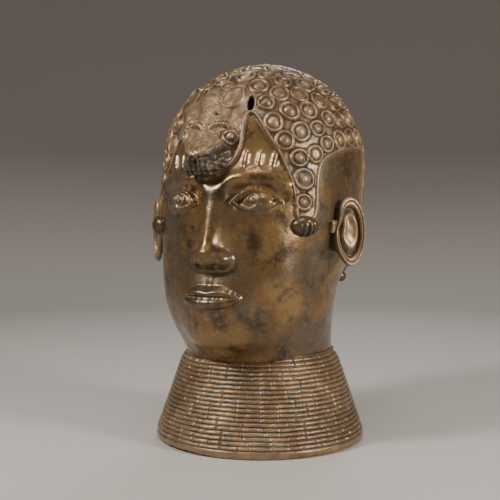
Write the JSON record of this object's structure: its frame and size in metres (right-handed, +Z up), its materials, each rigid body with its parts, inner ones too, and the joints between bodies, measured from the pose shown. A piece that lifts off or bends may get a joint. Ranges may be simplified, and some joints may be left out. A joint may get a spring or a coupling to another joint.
{
  "type": "cast bronze head",
  "caption": "Life-size cast bronze head of a court figure in a leopard-skin cap, with a leopard's head over the brow, on a tall flaring collar of bead rows that it stands on.",
  "frame": {"origin": "centre of the flat underside of the collar", "axes": "+Z up, -Y the way the face looks, +X towards the head's own left"},
  "size_m": [0.319, 0.3265, 0.512],
  "materials": {
    "bronze": "dark brown patinated cast bronze, waxed and glossy on the face, with tan dust and grey-green patches in the relief"
  },
  "bodies": {
    "root": {"bronze_head": "bronze"}
  },
  "joints": []
}
